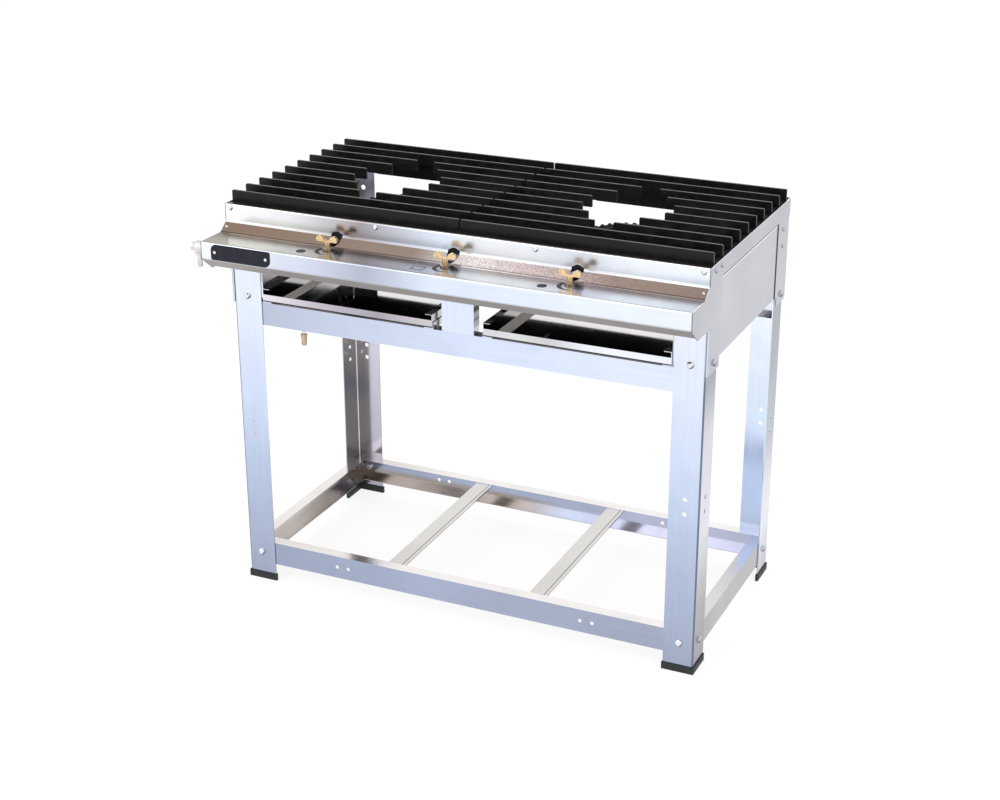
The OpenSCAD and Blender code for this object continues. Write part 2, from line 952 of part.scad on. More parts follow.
// The ring is cast in one piece with its arms and the mixing tube
module burner() {
  hub = 24;
  arm = 15;
  wall = 4;
  bore = mix_d / 2 - mix_wall;
  neck_y = mouth_y + mouth_l;
  join_y = -ring_in - 2 * wall;
  difference() {
    union() {
      difference() {
        rod_z(0, 0, strap_top, ring_top, ring_r);
        rod_z(0, 0, strap_top - slot_over, ring_top + slot_over, ring_in);
      }
      rod_z(0, 0, strap_top, ring_top - 5, hub);
      for (a = [0, 90])
        rotate([0, 0, a])
          span([-ring_in - wall, -arm / 2, strap_top], [ring_in + wall, arm / 2, ring_top - 7]);
      difference() {
        rod_y(0, neck_y, join_y, mix_z, mix_d / 2);
        span([-mix_d, -ring_r - 2, ring_top], [mix_d, 0, ring_top + mix_d]);
      }
      rod_y(0, mouth_y, neck_y, mix_z, mouth_d / 2);
    }
    rod_y(0, mouth_y - slot_over, neck_y - mix_wall, mix_z, mouth_d / 2 - mix_wall);
    rod_y(0, neck_y - mix_wall - slot_over, join_y - 1, mix_z, bore);
    span([-5, mouth_y + 3, mix_z - mouth_d], [5, mouth_y + 9, mix_z + mouth_d]);
    difference() {
      rod_z(0, 0, strap_top + wall, ring_top + slot_over, ring_r - wall);
      rod_z(0, 0, strap_top, ring_top + 2 * slot_over, ring_in + wall);
    }
  }
}

module burner_left() {
  color("dimgray")
    translate([-burner_x, 0, 0])
      burner();
}

module burner_right() {
  color("dimgray")
    translate([burner_x, 0, 0])
      burner();
}

module crown() {
  step = 360 / port_n;
  difference() {
    union() {
      rod_z(0, 0, ring_top, crown_top, ring_r);
      for (i = [0 : port_n - 1])
        rotate([0, 0, i * step])
          translate([ring_r - port_d / 2 - 0.5, 0, crown_top - 1]) {
            cylinder(h = port_h - 1, r = port_d / 2);
            translate([0, 0, port_h - 1])
              cylinder(h = 2, r1 = port_d / 2, r2 = port_d / 2 - 2);
          }
    }
    rod_z(0, 0, ring_top - slot_over, crown_top + port_h + 2, ring_in);
  }
}

module crown_left() {
  color("dimgray")
    translate([-burner_x, 0, 0])
      crown();
}

module crown_right() {
  color("dimgray")
    translate([burner_x, 0, 0])
      crown();
}

module shutter() {
  difference() {
    rod_y(0, shutter_y, shutter_y + shutter_l, mix_z, shutter_r + shutter_t);
    rod_y(0, shutter_y - slot_over, shutter_y + shutter_l + slot_over, mix_z, shutter_r);
    span([-5, mouth_y + 3, mix_z - mouth_d], [5, mouth_y + 8, mix_z + mouth_d]);
  }
}

module shutter_left() {
  color("lightgray")
    translate([-burner_x, 0, 0])
      shutter();
}

module shutter_right() {
  color("lightgray")
    translate([burner_x, 0, 0])
      shutter();
}

// Gas parts

module gas_pipe() {
  plug = 12;
  color("silver")
    union() {
      rod_x(-rim_out - 6, cheek_out - plug, key_y, pipe_z, pipe_d / 2);
      rod_x(cheek_out - plug, cheek_out, key_y, pipe_z, pipe_d / 2 - 2);
    }
}

// An elbow with a plugged end and a plain tail for the hose
module gas_inlet() {
  x0 = -rim_out - 6;
  drop_x = x0 - inlet_reach;
  neck_z = pipe_z - inlet_r - 1;
  plug = 15;
  color("gainsboro")
    union() {
      rod_x(drop_x, x0, key_y, pipe_z, inlet_r - 1.5);
      translate([drop_x, key_y, pipe_z])
        sphere(r = inlet_r);
      rod_x(drop_x - plug, drop_x, key_y, pipe_z, inlet_r - 4.5);
      rod_z(drop_x, key_y, neck_z, pipe_z, inlet_r - 4);
      rod_z(drop_x, key_y, neck_z - tail_l, pipe_z, tail_d / 2);
    }
}

module valve_blank() {
  color("gold")
    difference() {
      union() {
        rod_z(0, key_y, pipe_z + 2, key_top_z, valve_d / 2);
        rod_y(0, key_y, key_y + 14, mix_z, 6);
      }
      rod_x(-pipe_d, pipe_d, key_y, pipe_z, pipe_d / 2);
      rod_z(0, key_y, key_top_z - 12, key_top_z + slot_over, shank_d / 2 + shank_clear);
    }
}

module valve_jet() {
  valve_blank();
  color("gold")
    union() {
      rod_y(0, key_y + 14, key_y + 26, mix_z, 5);
      rod_y(0, key_y + 26, key_y + 34, mix_z, 3.5);
    }
}

module valve_left() {
  translate([-burner_x, 0, 0])
    valve_jet();
}

module valve_right() {
  translate([burner_x, 0, 0])
    valve_jet();
}

module valve_middle() {
  valve_blank();
}

// One wing of the key, seen from the front
module key_wing() {
  lobe = 8;
  mid_x = key_w / 2 - lobe;
  intersection() {
    translate([mid_x, key_h - lobe])
      circle(r = lobe);
    translate([2, key_h - 12])
      square([key_w, 20]);
  }
  polygon([
    [-1, key_h - 16], [4, key_h - 16], [9, key_h - 11.5], [mid_x, key_h - 11.5],
    [mid_x, key_h - 3], [3, key_h - 9], [-1, key_h - 10.5]
  ]);
}

module key() {
  foot_z = key_top_z + key_gap;
  stem = 5.5;
  color("gold")
    translate([0, key_y, 0])
      union() {
        rod_z(0, 0, key_top_z - 11, foot_z + 1, shank_d / 2);
        rod_z(0, 0, foot_z, foot_z + key_h - 12.5, stem);
        translate([0, key_t / 2, foot_z])
          rotate([90, 0, 0])
            linear_extrude(height = key_t)
              union() {
                key_wing();
                mirror([1, 0])
                  key_wing();
              }
      }
}

module key_left() {
  translate([-burner_x, 0, 0])
    key();
}

module key_middle() {
  key();
}

module key_right() {
  translate([burner_x, 0, 0])
    key();
}

// A round elbow, drawn as a ball where two tubes meet
module joint_ball(p) {
  translate(p)
    sphere(r = feed_d / 2);
}

function feed_path() =
  let (side = -post_w / 2 - 10, low = upper_top - 17, y0 = key_y + 26, y1 = rail_front + rail_flange + 11)
  [
    [0, key_y + 14, mix_z], [0, y0, mix_z], [side, y0, mix_z], [side, y1, mix_z],
    [side, y1, low], [-feed_x, y1, low], [-feed_x, y1, upper_z - 21]
  ];

module feed_tube() {
  p = feed_path();
  r = feed_d / 2;
  color("silver")
    union() {
      rod_y(p[0][0], p[0][1], p[1][1], p[0][2], r);
      rod_x(p[2][0], p[1][0], p[1][1], p[1][2], r);
      rod_y(p[2][0], p[2][1], p[3][1], p[2][2], r);
      rod_z(p[3][0], p[3][1], p[4][2], p[3][2], r);
      rod_x(p[5][0], p[4][0], p[4][1], p[4][2], r);
      rod_z(p[5][0], p[5][1], p[6][2], p[5][2], r);
      for (i = [1 : 5])
        joint_ball(p[i]);
    }
}

// A nut and a plain threaded end
module feed_tail() {
  p = feed_path()[6];
  nut_h = 8;
  end_h = 14;
  color("gold")
    union() {
      translate([p[0], p[1], p[2] - nut_h])
        cylinder(h = nut_h, r = 7.5, $fn = 6);
      rod_z(p[0], p[1], p[2] - nut_h - end_h, p[2] - nut_h, 5.5);
      translate([p[0], p[1], p[2] - nut_h - end_h - 2])
        cylinder(h = 2, r1 = 4, r2 = 5.5);
    }
}

// Drip trays

module tray() {
  x1 = tray_x + tray_w;
  y1 = tray_y + tray_l;
  top = tray_z + tray_side_h;
  color("silver")
    union() {
      span([tray_x, tray_y, tray_z], [x1, y1, tray_z + tray_t]);
      for (y = [tray_y, y1 - tray_t])
        span([tray_x, y, tray_z], [x1, y + tray_t, tray_z + tray_h]);
      for (x = [tray_x, x1 - tray_t])
        span([x, tray_y, tray_z], [x + tray_t, y1, top]);
      for (x = [tray_x, x1 - tray_lip])
        span([x, tray_y, top - tray_t], [x + tray_lip, y1, top]);
    }
}

module tray_left() {
  mirror([1, 0, 0])
    tray();
}

module tray_right() {
  tray();
}

// Grates

function gap_at(y) = max(0, diamond_x * (1 - abs(y) / diamond_y));

// A flat bar seen from the front, with rounded upper corners
module bar_face(x0, x1) {
  r = bar_round;
  union() {
    translate([x0, 0])
      square([x1 - x0, bar_h - r]);
    translate([x0 + r, 0])
      square([x1 - x0 - 2 * r, bar_h]);
    for (x = [x0 + r, x1 - r])
      translate([x, bar_h - r])
        circle(r = r);
  }
}

module bar(y, x0, x1) {
  translate([0, y + bar_t / 2, deck_z])
    rotate([90, 0, 0])
      linear_extrude(height = bar_t)
        bar_face(x0, x1);
}

function flat_xs() = [-bar_half + 14, -cross_in, cross_in, bar_half - 14];

module flats(grow) {
  reach = bar_ys[9] - bar_t / 2;
  for (x = flat_xs())
    span([x - cross_t / 2, -reach, deck_z - grow], [x + cross_t / 2, reach, deck_z + cross_h]);
}

module grate() {
  color("black")
    difference() {
      union() {
        for (y = bar_ys)
          if (gap_at(y) > 0) {
            bar(y, -bar_half, -gap_at(y));
            bar(y, gap_at(y), bar_half);
          } else {
            bar(y, -bar_half, bar_half);
          }
      }
      flats(slot_over);
    }
}

module grate_flats() {
  color("black")
    flats(0);
}

module grate_left() {
  translate([-burner_x, 0, 0])
    grate();
}

module grate_right() {
  translate([burner_x, 0, 0])
    grate();
}

module grate_flats_left() {
  translate([-burner_x, 0, 0])
    grate_flats();
}

module grate_flats_right() {
  translate([burner_x, 0, 0])
    grate_flats();
}

// Trim

// The face of the bare plate, with two large and two small corners
module plate_face(big, small) {
  w = plate_w;
  h = plate_h;
  union() {
    translate([big, 0])
      square([w - 2 * big, h]);
    translate([0, small])
      square([big, h - big - small]);
    translate([small, 0])
      square([big - small, h / 2]);
    translate([w - big, big])
      square([big, h - big - small]);
    translate([w - big, h / 2])
      square([big - small, h / 2]);
    for (p = [[big, h - big], [w - big, big]])
      translate(p)
        circle(r = big);
    for (p = [[small, small], [w - small, h - small]])
      translate(p)
        circle(r = small);
  }
}

// The bare plate with a rivet at each end
module bare_plate() {
  x0 = -cheek_out + 22;
  z0 = apron_z + (apron_h - plate_h) / 2;
  color("black")
    union() {
      translate([x0, apron_y, z0])
        rotate([90, 0, 0])
          linear_extrude(height = 1)
            plate_face(13, 4);
      for (x = [9, plate_w - 9])
        rod_y(x0 + x, apron_y - 2.2, apron_y - 1, z0 + plate_h / 2, 3);
    }
}

// A flat arc with pointed ends, in front of a key
module crescent(x) {
  reach = 22;
  translate([x + 2, key_y - 8, ctrl_z])
    difference() {
      cylinder(h = mark_t, r = reach);
      translate([6.5, 2.8, -slot_over])
        cylinder(h = 3, r = reach + 1.1);
    }
}

module shelf_marks() {
  dx = 43;
  my = key_y - 27;
  color("black")
    union() {
      for (x = key_xs)
        crescent(x);
      for (x = [key_xs[0], key_xs[2]])
        rod_z(x - dx, my, ctrl_z, ctrl_z + mark_t, 9.5);
      difference() {
        span([-dx - 12.5, my - 11, ctrl_z], [-dx + 12.5, my + 11, ctrl_z + mark_t]);
        span([-dx - 10, my - 8.5, ctrl_z - slot_over], [-dx + 10, my + 8.5, ctrl_z + slot_over]);
      }
    }
}

// A round head bolt with its nut, along +Y with the head's seat at the origin
module bolt(head, shank, grip) {
  head_h = head * 0.32;
  nut_h = shank * 0.5;
  rotate([90, 0, 0])
    union() {
      cylinder(h = head_h * 0.5, r = head / 2);
      translate([0, 0, head_h * 0.5])
        cylinder(h = head_h * 0.5, r1 = head / 2, r2 = head / 3.2);
      translate([0, 0, -grip - nut_h - 1])
        cylinder(h = grip + nut_h + 1 + eps, r = shank / 2);
      translate([0, 0, -grip - nut_h])
        cylinder(h = nut_h, r = shank * nut_ratio, $fn = 6);
    }
}

// The same bolt on the left side, with a spacer between cheek and leg
module side_bolt(x, y, z, head, shank, grip) {
  translate([x, y, z])
    rotate([0, 0, -90])
      bolt(head, shank, grip);
  if (x < -half_w)
    rod_x(-cheek_in, -half_w, y, z, shank);
}

module leg_bolts() {
  x_in = half_w - bolt_in;
  y_in = back_y - bolt_in;
  wall = leg_t + rail_t;
  color("gainsboro")
    union() {
      for (sx = [0, 1])
        mirror([sx, 0, 0]) {
          for (sy = [0, 1])
            mirror([0, sy, 0]) {
              translate([-x_in, front_y, shelf_bolt_z])
                bolt(bolt_head, bolt_d, wall);
              side_bolt(-half_w, -y_in, shelf_bolt_z, bolt_head, bolt_d, wall);
            }
          translate([-x_in, front_y, upper_bolt_z])
            bolt(bolt_head, bolt_d, wall);
          for (y = [-y_in, y_in])
            side_bolt(-rim_out, y, upper_bolt_z, bolt_head, bolt_d, wall + rim_out - half_w);
        }
    }
}

module panel_bolts() {
  slope_mid = [(band_y + slope_y) / 2, (slope_z + ctrl_z) / 2];
  tilt = atan2(slope_d, slope_h);
  color("gainsboro")
    union() {
      for (x = panel_bolt_xs())
        translate([x, band_y, screw_z])
          bolt(screw_head, screw_d, sheet_t + ledge_t);
      for (x = [-cheek_out + 7, cheek_out - 7])
        translate([x, slope_mid[0], slope_mid[1]])
          rotate([-tilt, 0, 0])
            rotate([90, 0, 0])
              cylinder(h = 2.2, r1 = 3.5, r2 = 2.2);
      for (sx = [0, 1])
        mirror([sx, 0, 0]) {
          for (p = front_screws())
            translate([-rim_out, p[0], p[1]])
              rotate([0, 0, -90])
                bolt(side_head, screw_d, rim_out - ledge_in);
          for (p = rear_screws())
            side_bolt(-rim_out, p[0], p[1], side_head, screw_d, rim_out - half_w + leg_t);
        }
    }
}
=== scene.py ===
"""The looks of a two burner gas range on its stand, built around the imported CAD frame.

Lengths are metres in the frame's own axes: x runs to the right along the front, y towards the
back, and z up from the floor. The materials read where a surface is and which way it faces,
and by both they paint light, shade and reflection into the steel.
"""

import bpy
from mathutils import Matrix, Vector

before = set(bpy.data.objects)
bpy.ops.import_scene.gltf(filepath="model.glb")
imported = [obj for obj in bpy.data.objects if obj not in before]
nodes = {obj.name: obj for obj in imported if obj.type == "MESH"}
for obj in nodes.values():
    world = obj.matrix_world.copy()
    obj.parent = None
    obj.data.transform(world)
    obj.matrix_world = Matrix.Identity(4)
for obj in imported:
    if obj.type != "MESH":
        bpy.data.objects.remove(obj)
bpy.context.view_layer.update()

# Camera, as fitted to the photograph
LENS, SENSOR_WIDTH = 64.669, 36.0
CAMERA_RIGHT = Vector((0.908910, 0.416990, -0.001336))
CAMERA_UP = Vector((-0.156926, 0.345017, 0.925385))
CAMERA_BACK = Vector((0.386337, -0.840882, 0.379026))
CAMERA_PLACE = Vector((1.425211, -3.149496, 1.817245))


def make_camera():
    """The photograph's own view."""
    data = bpy.data.cameras.new("camera")
    data.lens = LENS
    data.sensor_width = SENSOR_WIDTH
    data.clip_start, data.clip_end = 0.1, 200.0
    camera = bpy.data.objects.new("camera", data)
    place = Matrix((CAMERA_RIGHT, CAMERA_UP, CAMERA_BACK)).transposed().to_4x4()
    place.translation = CAMERA_PLACE
    camera.matrix_world = place
    bpy.context.scene.collection.objects.link(camera)
    bpy.context.scene.camera = camera


# Colours and nodes
WHITE = (1.0, 1.0, 1.0, 1.0)


def tone(red, green, blue):
    """A colour as a screen shows it, from 0 to 255, in the linear form that nodes take."""
    parts = [v / 255.0 for v in (red, green, blue)]
    linear = [v / 12.92 if v <= 0.04045 else ((v + 0.055) / 1.055) ** 2.4 for v in parts]
    return tuple(linear) + (1.0,)


def lighter(color, gain, lift=0.0):
    """A linear colour times gain, plus lift, for the dust and wear on it."""
    return tuple(v * gain + lift for v in color[:3]) + (1.0,)


class Nodes:
    """A node tree in the making. Its methods take sockets or numbers, and a share is 0 to 1."""

    def __init__(self, tree):
        self.tree = tree
        tree.nodes.clear()

    def add(self, kind, inputs=None, **settings):
        node = self.tree.nodes.new("ShaderNode" + kind)
        for key, value in settings.items():
            setattr(node, key, value)
        for key, value in (inputs or {}).items():
            if isinstance(value, bpy.types.NodeSocket):
                self.tree.links.new(value, node.inputs[key])
            else:
                node.inputs[key].default_value = value
        return node

    def calc(self, operation, a, b=0.0):
        return self.add("Math", {0: a, 1: b}, operation=operation).outputs[0]

    def product(self, first, *others):
        for share in others:
            first = self.calc("MULTIPLY", first, share)
        return first

    def spread(self, value, lo, hi, out_lo=0.0, out_hi=1.0):
        """Takes a value smoothly from lo..hi to out_lo..out_hi."""
        return self.add("MapRange", {0: value, 1: lo, 2: hi, 3: out_lo, 4: out_hi},
                        interpolation_type="SMOOTHSTEP").outputs[0]

    def near(self, value, centre, half, soft):
        """1 within half of the centre, and 0 further than half plus soft from it."""
        off = self.calc("ABSOLUTE", self.calc("SUBTRACT", value, centre))
        return self.spread(off, half + soft, half)

    def blend(self, share, a, b):
        return self.add("Mix", {0: share, 6: a, 7: b}, data_type="RGBA").outputs[2]

    def scaled(self, color, share):
        return self.add("VectorMath", {0: color, "Scale": share}, operation="SCALE").outputs[0]

    def tinted(self, color, factors):
        return self.add("VectorMath", {0: color, 1: factors}, operation="MULTIPLY").outputs[0]

    def ramp(self, value, *stops):
        """A colour for each place along value, from stops of a place and a tone's 3 parts."""
        lo, hi = stops[0][0], stops[-1][0]
        share = self.add("MapRange", {0: value, 1: lo, 2: hi}).outputs[0]
        node = self.add("ValToRGB", {0: share})
        elements = node.color_ramp.elements
        elements.remove(elements[1])
        for i, (place, *parts) in enumerate(stops):
            at = (place - lo) / (hi - lo)
            element = elements[0] if i == 0 else elements.new(at)
            element.position = at
            element.color = tone(*parts)
        return node.outputs[0]

    def shown_ray(self):
        """1 for rays that show the backdrop itself: straight, mirrored or through glass."""
        path = self.add("LightPath").outputs
        mirrored = self.calc("MAXIMUM", path["Is Glossy Ray"], path["Is Transmission Ray"])
        return self.calc("MAXIMUM", path["Is Camera Ray"], mirrored)


class Material(Nodes):
    """A material's nodes, with the place (x, y, z) and the facing of the surface they paint."""

    def __init__(self, name):
        self.made = bpy.data.materials.new(name)
        self.made.use_nodes = True
        super().__init__(self.made.node_tree)
        coordinates = self.add("TexCoord").outputs
        self.where, self.facing = coordinates["Object"], coordinates["Normal"]
        self.x, self.y, self.z = self.add("SeparateXYZ", {0: self.where}).outputs
        self.face_x, self.face_y, self.face_z = self.add("SeparateXYZ", {0: self.facing}).outputs

    def noise(self, scale, detail=2.0, rough=0.5, stretch=None):
        where = self.where
        if stretch is not None:
            where = self.add("Mapping", {0: where, 3: stretch}).outputs[0]
        return self.add("TexNoise", {"Vector": where, "Scale": scale, "Detail": detail,
                                     "Roughness": rough}).outputs[0]

    def bumps(self, height, strength, depth):
        """The surface's normal with a fine relief on it."""
        return self.add("Bump", {"Height": height, "Strength": strength,
                                 "Distance": depth}).outputs[0]

    def faces_front(self):
        """1 where the surface faces the front of the range."""
        return self.spread(self.face_y, -0.5, -0.9)

    def left_half(self):
        """1 to the left of the middle of the range."""
        return self.spread(self.x, 0.0, -0.1)

    def fold(self, sign, start, full):
        """1 on a level bend that faces up (sign 1) or down (sign -1), rising from start."""
        return self.product(self.spread(self.face_z, sign * start, sign * full),
                            self.spread(self.face_z, sign * 0.97, sign * 0.85))

    def finish(self, inputs):
        """Gives the material its shader, and returns it."""
        shader = self.add("BsdfPrincipled", inputs)
        self.add("OutputMaterial", {0: shader.outputs[0]})
        return self.made


# Steel
GRAIN = {"x": (0.03, 1.0, 1.0), "y": (1.0, 0.03, 1.0), "z": (1.0, 1.0, 0.03)}
UPRIGHT_GRAIN = (1.0, 1.0, 0.12)
SMUDGES = 0.04

# Tones that several paints share: painted light, shade and reflection for each way a surface
# faces, for the rail ends and for the shaded bends
SIDE = tone(203, 204, 210)
TOP = tone(236, 233, 231)
UNDER = tone(170, 165, 162)
BACK = tone(196, 201, 216)
RAIL_END = tone(205, 212, 232)
BEND_SHADE = tone(112, 122, 142)

# Places where the tones change, most of them edges of painted light and shade. A pair is where a
# change starts and where it is full.
BACK_RAIL_Y = (0.1, 0.2)
BACK_RAIL_WARM_Z = (0.067, 0.056)
BAR_MID_X, BAR_LINE_OFF = 0.012, 0.160
TRAY_FOOT_Z, TRAY_FOOT_HALF = 0.6329, 0.0019
CHEEK_RIM_Z = (0.8298, 0.8306)
CHEEK_EDGE_Z, CHEEK_EDGE_Y = (0.705, 0.720), (0.1, 0.16)
STRIP_Y, STRIP_HALF, STRIP_Z = -0.004, 0.176, 0.7972
LIT_LINE_Z = 0.7937
SIDE_FLANGE_Y = (0.160, 0.172)
SIDE_FACE_X = (0.5000, 0.5012)
APRON_TO_BAND_Z = (0.784, 0.786)
SHELF_SHADE_Y = (-0.332, -0.284)
SLOPE_FOOT_Y = (-0.32, -0.30)
SLOPE_FOLD_FACING = 0.91
KEY_XS = (-0.25125, 0.0, 0.25125)

# The two circles that bound an arc: x from its key, y and radius
ARC_OUTER = (0.0020, -0.3010, 0.0226)
ARC_INNER = (0.0110, -0.2985, 0.0226)
ARC_SOFT = 0.0008

# Painted shade: its tint on the shelf, its depth on the slope's fold and the facing of a bolt's
# shaded side; also the slope's speck grain and the lip's extra roughness
SHELF_SHADE = (0.56, 0.52, 0.48)
SLOPE_SPECK_GRAIN = (0.55, 1.0, 1.0)
SLOPE_FOLD_SHADE = 0.45
LIP_BLUR = 0.28
BOLT_SHADE_FACING = (0.62, 0.0, -0.78)


def faces(m, front, side=SIDE, top=TOP, under=UNDER):
    """One tone for each way that a surface of the range faces, as painted light, shade and
    reflection: lit on top, shaded underneath and at the sides.
    """
    sideways = m.calc("ABSOLUTE", m.face_x)
    color = m.blend(m.spread(m.face_y, -0.2, 0.2), front, BACK)
    color = m.blend(m.spread(sideways, 0.45, 0.9), color, side)
    color = m.blend(m.spread(m.face_z, 0.35, 0.9), color, top)
    return m.blend(m.spread(m.face_z, -0.35, -0.9), color, under)


def plain(*tones):
    """A paint that has no more than one tone for each way that the surface faces, so that its
    light, shade and reflection are painted by facing.
    """
    return lambda m: faces(m, *tones)


def upright_bend(m):
    """1 on an upright bend, where the surface faces between the front and the side."""
    return m.spread(m.calc("ABSOLUTE", m.product(m.face_x, m.face_y)), 0.12, 0.36)


def leg_paint(m):
    """A front leg in painted light and reflection: pale towards the top, less blue on its side,
    with a painted dark line of shade at its bend.
    """
    front = m.ramp(m.z, (0.0, 160, 170, 192), (0.22, 182, 194, 220), (0.45, 213, 226, 250),
                   (0.62, 229, 237, 253), (0.80, 241, 245, 255))
    side = m.ramp(m.z, (0.0, 140, 138, 142), (0.14, 160, 159, 163), (0.3, 222, 223, 231),
                  (0.5, 208, 210, 218), (0.60, 153, 156, 165), (0.80, 170, 173, 181))
    # Painted shade line along the bend, paler towards the top
    line = m.blend(m.spread(m.z, 0.60, 0.64), BEND_SHADE, tone(168, 174, 188))
    return m.blend(upright_bend(m), faces(m, front, side), line)


def back_leg_paint(m):
    """A back leg in painted light and reflection: painted shade inside on the left, where the
    bend shows as a painted pale highlight line.
    """
    front = m.ramp(m.z, (0.0, 170, 176, 188), (0.12, 188, 203, 234), (0.22, 196, 214, 248),
                   (0.36, 222, 236, 255), (0.60, 238, 246, 255), (0.80, 241, 245, 255))
    side = m.ramp(m.z, (0.0, 176, 176, 186), (0.12, 228, 231, 240), (0.22, 220, 225, 232),
                  (0.33, 174, 180, 190), (0.60, 150, 154, 163), (0.80, 172, 175, 182))
    # Painted lavender reflection on the front faces of the left leg
    lilac_reflection = m.ramp(m.z, (0.0, 168, 166, 178), (0.22, 196, 194, 208), (0.50, 224, 219, 232),
                   (0.80, 236, 233, 242))
    color = m.blend(m.product(m.faces_front(), m.left_half()), faces(m, front, side), lilac_reflection)
    # Painted shade on the faces inside the left leg, and a painted highlight line on its bend
    inside = m.product(m.spread(m.face_x, 0.1, 0.3), m.left_half())
    color = m.blend(m.product(inside, m.spread(m.face_x, 0.8, 0.95)), color,
                    tone(144, 140, 134))
    line = m.blend(inside, BEND_SHADE, tone(255, 250, 248))
    return m.blend(upright_bend(m), color, line)


def rail_paint(m):
    """The long shelf rails in painted light and reflection: the back one is warm at its lower
    left and bluer at its right, and the top fold carries a painted line, dark at the left and a
    highlight further right.
    """
    front = m.ramp(m.x, (-0.5, 155, 165, 188), (-0.1, 170, 180, 204), (0.5, 166, 173, 194))
    top = m.ramp(m.x, (-0.5, 220, 215, 210), (-0.2, 244, 240, 238), (0.5, 248, 245, 244))
    color = faces(m, front, top=top)
    # Painted reflections on the back rail, warm at its lower left and blue at its right
    back_rail = m.product(m.faces_front(), m.spread(m.y, *BACK_RAIL_Y))
    warm = m.product(back_rail, m.spread(m.z, *BACK_RAIL_WARM_Z), m.spread(m.x, 0.05, -0.1))
    color = m.blend(warm, color, tone(160, 152, 148))
    blue = m.product(back_rail, m.spread(m.x, 0.05, 0.2))
    color = m.blend(blue, color, tone(184, 188, 212))
    # Painted fold line, shade at the left and highlight to the right
    line = m.ramp(m.x, (-0.5, 118, 126, 144), (-0.15, 130, 138, 156), (-0.05, 232, 236, 244),
                  (0.5, 240, 243, 250))
    return m.blend(m.fold(1.0, 0.2, 0.4), color, line)


def upper_rail_paint(m):
    # Painted light along the front, brighter to the right, and painted shade on the bend that
    # faces down
    front = m.ramp(m.x, (-0.5, 182, 189, 208), (0.0, 214, 225, 248), (0.5, 228, 236, 252))
    return m.blend(m.fold(-1.0, 0.08, 0.22), faces(m, front), tone(104, 106, 114))


def left_rail_paint(m):
    """The inner face of the left rail, with painted shade that darkens it towards the back
    corner.
    """
    inner = m.ramp(m.y, (-0.24, 214, 208, 204), (-0.05, 200, 194, 190), (0.08, 150, 143, 138),
                   (0.24, 152, 143, 135))
    return faces(m, RAIL_END, inner, tone(240, 236, 234))


def right_rail_paint(m):
    """The right rail is seen from outside: a grey flange, a white fold of painted highlight and a
    darker face.
    """
    outer = m.ramp(m.y, (-0.24, 160, 158, 160), (-0.08, 176, 174, 176), (0.24, 162, 161, 167))
    top = m.ramp(m.y, (-0.24, 228, 227, 228), (0.0, 212, 211, 214), (0.24, 196, 196, 202))
    return m.blend(m.fold(1.0, 0.2, 0.4), faces(m, RAIL_END, outer, top), tone(250, 250, 252))


def bar_paint(m):
    """A shelf bar in painted facing tones, with a painted shade line where the edge that is
    further from the middle turns down.
    """
    color = faces(m, tone(190, 194, 206), tone(196, 196, 200), tone(222, 219, 216))
    off = m.calc("SUBTRACT", m.calc("ABSOLUTE", m.calc("SUBTRACT", m.x, BAR_MID_X)),
                 BAR_LINE_OFF)
    # Painted shade on the top face where the edge turns down
    turned = m.product(m.near(off, 0.0, 0.0008, 0.0008), m.spread(m.face_z, 0.5, 0.9))
    return m.blend(turned, color, tone(150, 146, 144))


def tray_paint(m):
    """A tray, whose front edge has painted reflections that dull towards the middle of the range,
    over a painted dark shadow line at its foot.
    """
    front = m.ramp(m.x, (-0.44, 236, 230, 238), (-0.30, 194, 187, 199), (-0.17, 172, 166, 179),
                   (-0.10, 198, 192, 200), (0.12, 222, 222, 224), (0.19, 206, 208, 210),
                   (0.27, 236, 239, 248), (0.45, 240, 243, 252))
    color = faces(m, front, tone(190, 192, 192), tone(232, 230, 229))
    # Painted shadow line under the front wall of the tray
    foot = m.product(m.near(m.z, TRAY_FOOT_Z, TRAY_FOOT_HALF, 0.0006), m.faces_front())
    return m.blend(foot, color, tone(44, 46, 54))


def sheen(m, color, depth):
    """Broad upright patches, lighter and darker by depth, over the sides of the range."""
    patches = m.noise(5.0, 1.0, 0.4, UPRIGHT_GRAIN)
    return m.scaled(color, m.spread(patches, 0.3, 0.7, 1.0 - depth, 1.0 + depth))


def cheek_paint(m):
    """The outer side sheet: painted shade on its edges that face the front, a painted dark shadow
    line along the strip, and a painted highlight on its rim.
    """
    outer = m.ramp(m.z, (0.60, 182, 183, 190), (0.72, 184, 186, 193), (0.83, 174, 175, 182))
    # Painted highlight on the rim at the top of the sheet
    outer = m.blend(m.spread(m.z, *CHEEK_RIM_Z), sheen(m, outer, 0.05), tone(244, 244, 248))
    # Painted dark shadow line under the strip
    strip = m.product(m.near(m.y, STRIP_Y, STRIP_HALF, 0.001),
                      m.near(m.z, STRIP_Z, 0.0010, 0.0006))
    outer = m.blend(strip, outer, tone(66, 68, 78))
    # Painted shade on the edges that face the front, darker higher up and at the back
    edge = m.blend(m.spread(m.z, *CHEEK_EDGE_Z), tone(196, 199, 208), tone(100, 102, 110))
    edge = m.blend(m.spread(m.y, *CHEEK_EDGE_Y), edge, tone(104, 104, 112))
    return faces(m, edge, outer, tone(240, 240, 246), tone(112, 112, 118))


def side_paint(m):
    """The side panel behind the cheek, with a painted highlight just under the strip, where it
    catches the light.
    """
    side = m.ramp(m.z, (0.60, 184, 186, 193), (0.75, 187, 189, 196), (0.83, 182, 183, 190))
    side = m.blend(m.spread(m.y, *SIDE_FLANGE_Y), sheen(m, side, 0.06), tone(158, 160, 168))
    color = faces(m, tone(214, 222, 240), side)
    return m.blend(m.near(m.z, LIT_LINE_Z, 0.0012, 0.0008), color, tone(246, 247, 252))


